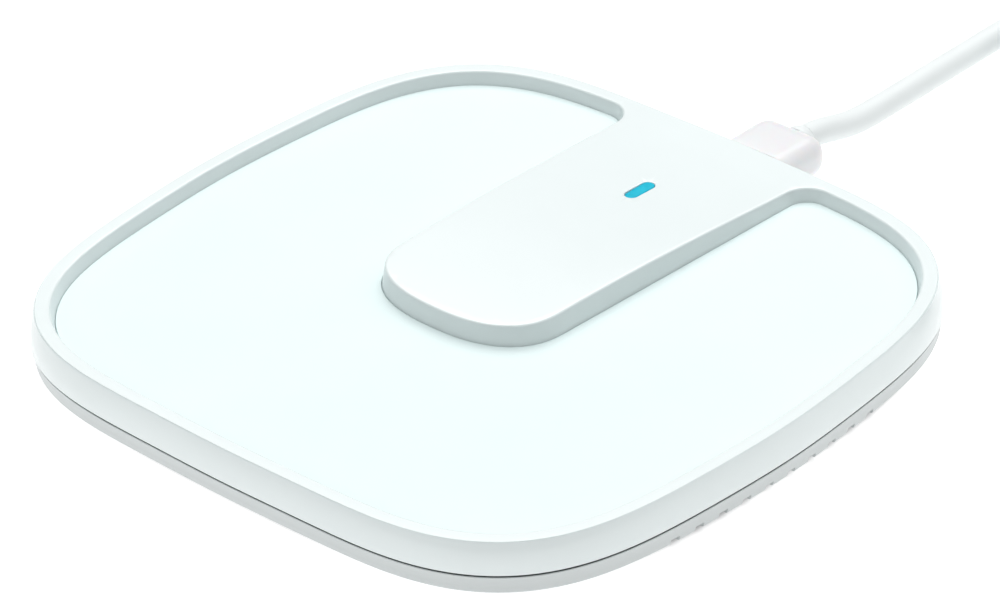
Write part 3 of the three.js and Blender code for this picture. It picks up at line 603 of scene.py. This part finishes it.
def make_camera():
    azimuth, elevation, roll = math.radians(44.06), math.radians(32.33), math.radians(-2.57)
    distance = 709.85 * MM
    target = Vector((0, 0, 0.84 * MM))
    back = Vector((
        math.sin(azimuth) * math.cos(elevation),
        -math.cos(azimuth) * math.cos(elevation),
        math.sin(elevation),
    ))
    data = bpy.data.cameras.new("camera")
    data.sensor_width = 36
    data.lens = 204.46
    data.shift_x = 0.0124
    data.shift_y = 0.0258
    camera = bpy.data.objects.new("camera", data)
    camera.rotation_mode = "QUATERNION"
    camera.rotation_quaternion = back.to_track_quat("Z", "Y") @ Quaternion((0, 0, 1), roll)
    camera.location = target + back * distance
    bpy.context.scene.collection.objects.link(camera)
    bpy.context.scene.camera = camera


def area_light(name, place, size, power, colour=(1, 1, 1)):
    data = bpy.data.lights.new(name, "AREA")
    data.shape = "RECTANGLE"
    data.size, data.size_y = size
    data.energy = power
    data.color = colour
    light = bpy.data.objects.new(name, data)
    light.location = place
    light.rotation_mode = "QUATERNION"
    light.rotation_quaternion = Vector(place).to_track_quat("Z", "Y")
    bpy.context.scene.collection.objects.link(light)


def make_studio():
    """A soft dome, brightest overhead, a large soft box above and behind, and two smaller for the walls."""
    world = bpy.data.worlds.new("studio")
    world.use_nodes = True
    tree = world.node_tree
    background = tree.nodes["Background"]
    place = tree.nodes.new("ShaderNodeTexCoord")
    split = tree.nodes.new("ShaderNodeSeparateXYZ")
    dome = tree.nodes.new("ShaderNodeMapRange")
    dome.inputs["From Min"].default_value = 0
    dome.inputs["From Max"].default_value = 1
    dome.inputs["To Min"].default_value = DOME_LOW
    dome.inputs["To Max"].default_value = DOME_HIGH
    tree.links.new(place.outputs["Generated"], split.inputs["Vector"])
    tree.links.new(split.outputs["Z"], dome.inputs["Value"])
    tree.links.new(dome.outputs["Result"], background.inputs["Strength"])
    background.inputs["Color"].default_value = (1, 1, 1, 1)
    bpy.context.scene.world = world
    area_light("overhead", (-0.2, 0.38, 0.8), (0.8, 0.8), OVERHEAD_POWER)
    area_light("front", (-0.15, -0.8, 0.45), (0.6, 0.3), FRONT_POWER)
    area_light("right_back", (0.52, 0.60, 0.52), (0.7, 0.35), RIGHT_POWER)

    view = bpy.context.scene.view_settings
    view.view_transform = "Standard"
    view.look = "None"


def maths(tree, operation, first, *second):
    """One arithmetic node on a socket, with a second socket or number where the operation takes one."""
    node = tree.nodes.new("ShaderNodeMath")
    node.operation = operation
    tree.links.new(first, node.inputs[0])
    for value in second:
        if isinstance(value, float):
            node.inputs[1].default_value = value
        else:
            tree.links.new(value, node.inputs[1])
    return node.outputs["Value"]


def make_floor():
    """A pale floor that gives off light of its own, except under the pad."""
    bm = bmesh.new()
    corners = [(-3, -3), (3, -3), (3, 3), (-3, 3)]
    bm.faces.new([bm.verts.new((x, y, 0)) for x, y in corners])
    floor = object_from("floor", bm)
    paper, shader = material("floor_paper", (0.5, 0.5, 0.5), 0.9)
    shader.inputs["Emission Color"].default_value = (1, 1, 1, 1)
    tree = paper.node_tree
    place = tree.nodes.new("ShaderNodeTexCoord")
    split = tree.nodes.new("ShaderNodeSeparateXYZ")
    tree.links.new(place.outputs["Object"], split.inputs["Vector"])
    reaches = []
    for axis, half_size in (("X", PAD_HALF_WIDTH), ("Y", PAD_HALF_DEPTH)):
        share = maths(tree, "MULTIPLY", maths(tree, "ABSOLUTE", split.outputs[axis]), 1 / half_size)
        reaches.append(maths(tree, "POWER", share, FOOTPRINT_POWER))
    glow = tree.nodes.new("ShaderNodeMapRange")
    glow.inputs["From Min"].default_value = FOOTPRINT_DARK
    glow.inputs["From Max"].default_value = FOOTPRINT_EDGE
    glow.inputs["To Min"].default_value = 0
    glow.inputs["To Max"].default_value = FLOOR_GLOW
    tree.links.new(maths(tree, "ADD", *reaches), glow.inputs["Value"])
    tree.links.new(glow.outputs["Result"], shader.inputs["Emission Strength"])
    floor.data.materials.append(paper)


# ---- the cable ----

def coil_path():
    """The coiled stretch: one layer of turns winds inwards, and a second on top of it outwards."""
    steps = 24
    tracks = [COIL_RADIUS - CORD_DIAMETER * i for i in range(COIL_TRACKS)]
    tracks += list(reversed(tracks))
    low, high = CORD_REST_Z, CORD_REST_Z + CORD_DIAMETER
    total = len(tracks) - 0.5
    points = []
    for i in range(1, round(total * steps)):
        turns = i / steps
        turn = int(turns)
        share = max(0.0, (turns - turn - 0.75) / 0.25)
        ease = share * share * (3 - 2 * share)
        nearer = tracks[turn]
        later = tracks[min(turn + 1, len(tracks) - 1)]
        radius = nearer + (later - nearer) * ease
        climb = min(1.0, max(0.0, (turns - COIL_TRACKS + 0.5) / 0.5))
        z = low + (high - low) * climb * climb * (3 - 2 * climb)
        angle = TURN / 2 - TURN * turns
        away = math.remainder(angle - TIE_ANGLE, TURN) / math.radians(24)
        z += 0.95 * MM * math.exp(-away * away)
        points.append((COIL_X + radius * math.cos(angle), COIL_Y + radius * math.sin(angle), z))
    return points


def make_cord():
    points = [Vector(p) for p in (*CORD_ROUTE, *coil_path(), *TAIL_ROUTE)]
    curve = bpy.data.curves.new("cord", "CURVE")
    curve.dimensions = "3D"
    curve.bevel_depth = CORD_DIAMETER / 2
    curve.bevel_resolution = 6
    curve.resolution_u = 3
    curve.use_fill_caps = True
    spline = curve.splines.new("NURBS")
    spline.points.add(len(points) - 1)
    for place, point in zip(spline.points, points):
        place.co = (*point, 1)
    spline.use_endpoint_u = True
    spline.order_u = 4
    cord = bpy.data.objects.new("cord_line", curve)
    bpy.context.scene.collection.objects.link(cord)
    return cord


# ---- the pad ----

def tongue_top(point):
    """Height of the rim and of the gently arched tongue at a point of the plan."""
    share = (point.y - CROWN_TOP_Y) / (CROWN_END_Y - CROWN_TOP_Y)
    arch = CROWN_HEIGHT * max(0.0, 1 - share * share) ** (1.5 if share > 0 else 1)
    off_middle = abs(point.x - tongue_middle_x(point.y))
    side = min(1.0, max(0.0, (TONGUE_BACK_HALF_WIDTH + POCKET_FILLET - off_middle) / POCKET_FILLET))
    return RIM_Z + arch * side * side * (3 - 2 * side)


def edge_round(radius, steps=4):
    """A rounded edge as (sideways, down) pairs, from the flat top to the wall below it."""
    pairs = []
    for i in range(steps + 1):
        angle = TURN / 4 * i / steps
        pairs.append((radius * (1 - math.sin(angle)), radius * (1 - math.cos(angle))))
    return pairs


def cover_side():
    """The cover's outer wall as (inset, z) pairs: upright at the parting line, curving in to the crease."""
    steps = 16
    height = RIM_Z - PARTING_Z
    pairs = [(0.06 * MM, PARTING_Z), (0, PARTING_Z + 0.06 * MM)]
    pairs += [(CREASE_INSET * (i / steps) ** 2.3, PARTING_Z + height * i / steps) for i in range(1, steps)]
    pairs += [
        (CREASE_INSET - 0.08 * MM, RIM_Z - 0.11 * MM), (CREASE_INSET - 0.01 * MM, RIM_Z - 0.2 * MM),
        (CREASE_INSET + 0.02 * MM, RIM_Z - 0.06 * MM), (CREASE_INSET + 0.08 * MM, RIM_Z),
    ]
    return pairs


def tongue_grid(spacing):
    """Points inside the rim and the tongue, for an even mesh there."""
    points = []
    y = TONGUE_FRONT_Y + 1.5 * MM
    while y < PAD_HALF_DEPTH - 4 * MM:
        before_end = max(0.0, 1 - (y - TONGUE_FRONT_Y) / TONGUE_END_LENGTH)
        across = (1 - before_end ** TONGUE_END_POWER) ** (1 / TONGUE_END_POWER)
        half = tongue_half_width(y) * across - 1.2 * MM
        middle = tongue_middle_x(y)
        columns = max(2, round(2 * half / spacing))
        for i in range(columns + 1):
            x = middle - half + 2 * half * i / columns
            in_slot = abs(x) < LED_WIDTH / 2 + 0.8 * MM and abs(y - LED_Y) < LED_LENGTH / 2 + 0.8 * MM
            if not in_slot:
                points.append(Vector((x, y)))
        y += spacing
    return points


def port_cutter(name, margin=0.0):
    shape = rounded_rectangle(
        PORT_WIDTH + 2 * margin, PORT_HEIGHT + 2 * margin, (PORT_HEIGHT / 2 + margin) * 0.99, PORT_X, -PORT_Z,
    )
    return loft_along_y(name, [(shape, PORT_FACE_Y - PORT_DEPTH), (shape, PAD_HALF_DEPTH + CUT_PAST)])


def make_cover():
    bm = bmesh.new()
    first, crease = skin(bm, [(pad_outline(inset), z) for inset, z in cover_side()])
    bm.faces.new(list(reversed(first)))
    pocket_levels = [
        (pocket_outline(-sideways), lambda p, down=down: tongue_top(p) - down)
        for sideways, down in edge_round(POCKET_EDGE_ROUND)
    ]
    pocket_levels += [
        (pocket_outline(POCKET_DRAFT), SURFACE_Z - 0.1 * MM),
        (pocket_outline(POCKET_DRAFT), SEAT_Z),
    ]
    pocket_top, pocket_foot = skin(bm, pocket_levels)
    bm.faces.new(list(reversed(pocket_foot)))
    slot_levels = [
        (slot_outline(0.1 * MM + sideways), lambda p, down=down: tongue_top(p) - down)
        for sideways, down in edge_round(0.12 * MM, 3)
    ]
    slot_levels.append((slot_outline(0.1 * MM), HOLLOW_TOP_Z - 0.1 * MM))
    slot_top, slot_foot = skin(bm, slot_levels)
    bm.faces.new(list(reversed(slot_foot)))
    fill(bm, crease, [pocket_top, slot_top], tongue_grid(1.5 * MM), tongue_top)
    cover = object_from("top_cover_shell", bm)
    rebate = pad_outline(REBATE_INSET, INNER_OUTLINE_STEPS)
    hollow_front = TONGUE_FRONT_Y + TONGUE_END_LENGTH
    hollow_back = CROWN_END_Y - 1 * MM
    hollow_half = TONGUE_FRONT_HALF_WIDTH - 1.8 * MM
    hollow = rounded_rectangle(
        2 * hollow_half, hollow_back - hollow_front, 2.5 * MM,
        TONGUE_LEAN / 3, (hollow_back + hollow_front) / 2,
    )
    combine(cover, [
        loft("rebate", [(rebate, PARTING_Z - CUT_PAST), (rebate, CEILING_Z)]),
        loft("hollow", [(hollow, CEILING_Z - CUT_PAST), (hollow, HOLLOW_TOP_Z)]),
    ], "DIFFERENCE")
    combine(cover, [port_cutter("port_hole")], "DIFFERENCE")
    even_shading(cover)
    finish_piece(cover, "pad", "glossy_shell", "top_cover")
    paint_shade_on_recess_walls(cover)


def paint_shade_on_recess_walls(cover):
    """The upright walls of the recess and the tongue get a darker colour as painted shade, and a less glossy
    finish than the outside.
    """
    cover.data.materials.append(RECESS_WALL_SHADE)
    for face in cover.data.polygons:
        reach = outline_radius(math.atan2(face.center.y, face.center.x)) - 1.6 * MM
        if face.center.xy.length < reach and face.center.z > SEAT_Z and abs(face.normal.z) < 0.55:
            face.material_index = 1


def make_surface():
    """The recessed charging surface: a thin plate with a fine bevel, laid into the recess."""
    depth = POCKET_DRAFT + SURFACE_GAP
    levels = [(pocket_outline(depth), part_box("charging_surface")[0].z)]
    levels += [
        (pocket_outline(depth + sideways), SURFACE_Z - down)
        for down, sideways in edge_round(0.12 * MM, 3)
    ]
    surface = loft("charging_surface_plate", levels)
    even_shading(surface)
    finish_piece(surface, "pad", "satin_surface", "charging_surface")


def make_base():
    top = PARTING_Z - PARTING_GAP
    side = [
        (1.5 * MM, BASE_BOTTOM_Z), (0.84 * MM, BASE_BOTTOM_Z), (0.68 * MM, BASE_BOTTOM_Z + 0.05 * MM),
        (0.58 * MM, BASE_BOTTOM_Z + 0.18 * MM), (0.5 * MM, BASE_BOTTOM_Z + 0.4 * MM),
        (0.38 * MM, BASE_BOTTOM_Z + 1.2 * MM), (0.26 * MM, BASE_BOTTOM_Z + 2.1 * MM),
        (0.16 * MM, top - 0.1 * MM), (0.19 * MM, top - 0.03 * MM), (0.26 * MM, top),
    ]
    base = loft("base_cover_shell", [(pad_outline(inset), z) for inset, z in side])
    lip = pad_outline(LIP_INSET, INNER_OUTLINE_STEPS)
    lip_top = PARTING_Z + LIP_HEIGHT
    combine(base, [loft("lip", [(lip, top - 0.5 * MM), (lip, lip_top)])], "UNION")
    hollow = pad_outline(BASE_WALL_INSET, INNER_OUTLINE_STEPS)
    tools = [loft("hollow", [(hollow, BASE_BOTTOM_Z + BASE_FLOOR), (hollow, lip_top + CUT_PAST)])]
    for x, y in screw_places():
        pocket = arc_ring(x, y, FOOT_POCKET_RADIUS, 48)
        tools.append(loft("foot_pocket", [(pocket, -CUT_PAST), (pocket, BASE_BOTTOM_Z + FOOT_RECESS)]))
    for x in (-VENT_MIDDLE_X, VENT_MIDDLE_X):
        for i in range(VENTS_PER_SIDE):
            y = VENT_MIDDLE_Y + (i - (VENTS_PER_SIDE - 1) / 2) * VENT_PITCH
            slot = rounded_rectangle(VENT_LENGTH, VENT_WIDTH, 0.25 * MM, x, y, 3)
            tools.append(loft("vent", [(slot, -CUT_PAST), (slot, BASE_BOTTOM_Z + VENT_HEIGHT)]))
    combine(base, tools, "DIFFERENCE")
    combine(base, [port_cutter("port_hole", -0.03 * MM)], "DIFFERENCE")
    even_shading(base)
    finish_piece(base, "pad", "base_shell", "base_cover")
    base.data.materials.append(SHADOW_LIP)  # painted shadow: the ledge and the lip that show through the parting gap are coloured dark
    for face in base.data.polygons:
        if face.center.z > top - 0.01 * MM:
            face.material_index = 1


def screw_places():
    return [(x * SCREW_X, y * SCREW_Y) for x, y in ((1, 1), (-1, 1), (-1, -1), (1, -1))]


def make_light():
    top = tongue_top(Vector((0, LED_Y))) - 0.05 * MM
    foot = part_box("light_pipe")[0].z
    levels = [(slot_outline(0), foot), (slot_outline(0), top - 0.1 * MM)]
    levels += [(slot_outline(-0.06 * MM), top - 0.04 * MM), (slot_outline(-0.16 * MM), top)]
    light = loft("light_pipe_lens", levels)
    finish_piece(light, "pad", "light_pipe", "light_pipe")


def make_feet():
    for i, (x, y) in enumerate(screw_places()):
        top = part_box(f"foot_{i + 1}")[1].z
        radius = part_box(f"foot_{i + 1}")[1].x - x
        profile = [
            (0, 0), (radius - 0.5 * MM, 0), (radius - 0.22 * MM, 0.06 * MM), (radius - 0.06 * MM, 0.22 * MM),
            (radius, 0.45 * MM), (radius, top - 0.05 * MM), (radius - 0.05 * MM, top), (0, top),
        ]
        foot = turned(f"foot_pad_{i + 1}", profile, x, y)
        finish_piece(foot, "pad", "silicone", f"foot_{i + 1}")


# ---- the plugs ----

def make_overmold(name, node, ends, corner, middle, steps, socket, socket_depth):
    """A plug's body along Y, through (inset, y) pairs in mm, with a hole in its front for the metal shell."""
    low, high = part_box(node)
    width, height = high.x - low.x, high.z - low.z
    levels = []
    for inset, y in ends:
        inset *= MM
        shape = rounded_rectangle(
            width - 2 * inset, height - 2 * inset, corner - inset, middle.x, -middle.z, steps,
        )
        levels.append((shape, low.y + y * MM))
    body = loft_along_y(name, levels)
    hole = loft_along_y("hole", [(socket, low.y - CUT_PAST), (socket, low.y + socket_depth)])
    combine(body, [hole], "DIFFERENCE")
    even_shading(body)
    finish_piece(body, "cable", "plug_plastic", node)
    return body


def make_usb_c():
    low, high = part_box("usb_c_overmold")
    end = (high.y - low.y) / MM
    ends = [
        (0.2, -0.33), (0.06, -0.28), (0, -0.15), (0, 0.5), (0, end - 2.4), (0.07, end - 1.75),
        (0.25, end - 1.1), (0.52, end - 0.6), (0.9, end - 0.22), (1.4, end),
    ]
    corner = (high.z - low.z) / 2 - 0.5 * MM
    socket = rounded_rectangle(8.2 * MM, 2.4 * MM, 1.13 * MM, PORT_X, -PORT_Z, 12)
    port = Vector((PORT_X, 0, PORT_Z))
    body = make_overmold("usb_c_body", "usb_c_overmold", ends, corner, port, 16, socket, 3.1 * MM)

    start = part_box("usb_c_strain_relief")[0].y
    profile = [
        (1.95, -0.17), (2.05, -0.1), (2.12, 0.1), (2.12, 0.4),
        (2.05, 0.75), (1.95, 1.05), (1.84, 1.3), (1.77, 1.47),
    ]
    levels = [(arc_ring(PORT_X, -PORT_Z, radius * MM, 48), start + y * MM) for radius, y in profile]
    collar = loft_along_y("usb_c_collar", levels)
    finish_piece(collar, "cable", "cord_jacket", "usb_c_strain_relief")
    return [body, collar]


def make_usb_a():
    low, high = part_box("usb_a_overmold")
    middle = (low + high) / 2
    end = (high.y - low.y) / MM
    ends = [
        (0.9, 0), (0.45, 0.1), (0.14, 0.4), (0, 0.9), (0, end - 4.5), (0.12, end - 3.4),
        (0.42, end - 2.1), (0.85, end - 1.1), (1.35, end - 0.4), (1.9, end),
    ]
    socket = rounded_rectangle(12.1 * MM, 4.6 * MM, 0.4 * MM, middle.x, -middle.z, 4)
    body = make_overmold("usb_a_body", "usb_a_overmold", ends, 2.6 * MM, middle, 12, socket, 4.1 * MM)

    low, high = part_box("usb_a_strain_relief")
    length = high.y - low.y
    steps = 56
    ribs = 4
    levels = []
    for i in range(steps + 1):
        share = i / steps
        taper = 3 - 0.9 * share ** 1.2
        groove = 0.3 * max(0.0, math.sin(TURN * (ribs * share - 0.25))) ** 2 if 0.08 < share < 0.95 else 0
        levels.append((arc_ring(middle.x, -middle.z, (taper - groove) * MM, 40), low.y + length * share))
    relief = loft_along_y("usb_a_relief", levels)
    finish_piece(relief, "cable", "cord_jacket", "usb_a_strain_relief")
    return [body, relief]


def make_tie():
    """The strap round the coil: a woven band with rounded edges and flared ends."""
    wall, gap, half_length = 0.6 * MM, 0.3 * MM, 3 * MM
    outer = COIL_RADIUS + CORD_DIAMETER / 2
    inner = outer - COIL_TRACKS * CORD_DIAMETER - 0.4 * MM
    width, height = outer - inner + 2 * gap, 2 * CORD_DIAMETER + 2 * gap
    centre_x, centre_z = (outer + inner) / 2, (height + wall) / 2

    def band(name, thickness, radius, start, end, flare):
        levels = []
        for inset, y in ((flare, start), (0, start + abs(flare)), (0, end - abs(flare)), (flare, end)):
            shape = rounded_rectangle(
                width + 2 * (thickness - inset), height - wall + 2 * (thickness - inset), radius - inset,
                centre_x, -centre_z, 8,
            )
            levels.append((shape, y))
        return loft_along_y(name, levels)

    strap = band("cable_strap", wall, 1.3 * MM, -half_length, half_length, 0.18 * MM)
    reach = half_length + CUT_PAST
    combine(strap, [band("strap_hole", 0, 0.7 * MM, -reach, reach, 0)], "DIFFERENCE")
    turn = Matrix.Translation((COIL_X, COIL_Y, 0)) @ Matrix.Rotation(TIE_ANGLE, 4, "Z")
    strap.data.transform(turn)
    even_shading(strap)
    finish_piece(strap, "cable", "tie_fabric", "cable_tie")
    return [strap]


def dress_cad_nodes():
    """The CAD nodes that stay in sight, and those inside the pad, get the finish that the record names."""
    slots = {part["node"]: part["material_slot"] for part in frame["record"]["subparts"]}
    for name, node in frame["nodes"].items():
        if node.hide_render:
            continue
        node.data.materials.clear()
        node.data.materials.append(MATERIALS[slots[name]])
        shade(node, 30)


make_camera()
make_studio()
make_floor()
make_cover()
make_surface()
make_base()
make_light()
make_feet()
cord = make_cord()
finish_piece(cord, "cable", "cord_jacket", "cord", "cord_coil", "cord_tail")
on_cord = make_usb_c() + make_usb_a() + make_tie()
on_cord += [name for name in frame["record"]["physics"]["cord_nodes"] if not frame["nodes"][name].hide_render]
dress_cad_nodes()
